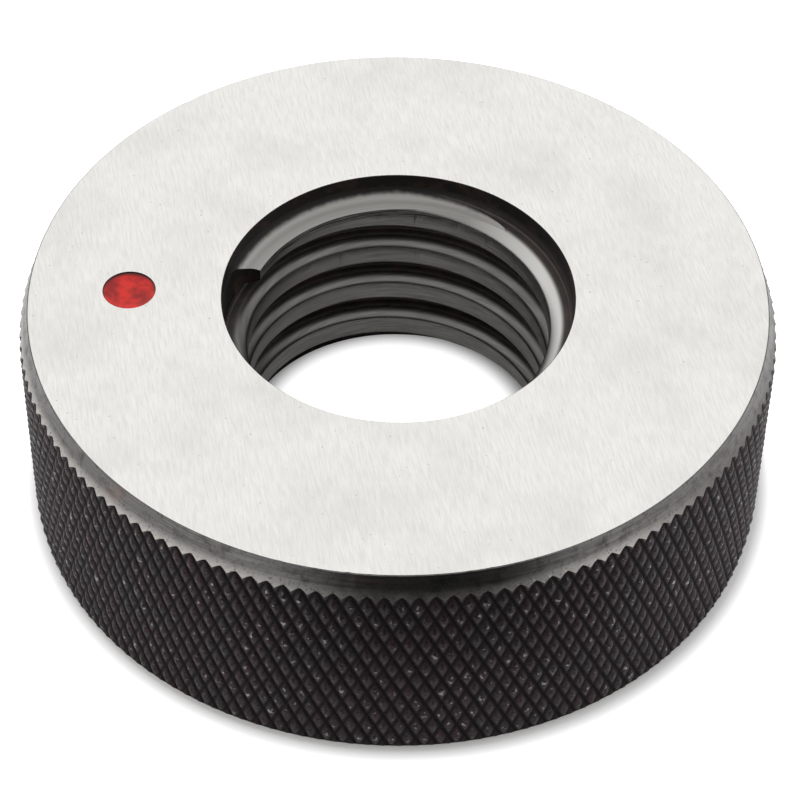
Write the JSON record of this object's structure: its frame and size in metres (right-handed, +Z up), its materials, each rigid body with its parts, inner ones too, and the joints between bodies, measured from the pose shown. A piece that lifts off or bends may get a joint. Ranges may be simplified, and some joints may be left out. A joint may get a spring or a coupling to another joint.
{
  "type": "thread ring gauge",
  "caption": "Solid thread ring gauge, not-go member: a thick steel ring with a knurled rim, a recessed right-hand threaded bore and a red enamel mark on its face.",
  "frame": {"origin": "centre of the underside, on the bore axis", "axes": "+Z up along the bore axis, out of the marked face; the red mark is on the -X side; twelve o'clock on the face is +Y"},
  "size_m": [0.053, 0.053, 0.0177],
  "materials": {
    "ground_steel": "satin",
    "red_enamel": "gloss"
  },
  "bodies": {
    "root": {"gauge_ring": "ground_steel", "red_mark": "red_enamel"}
  },
  "joints": []
}
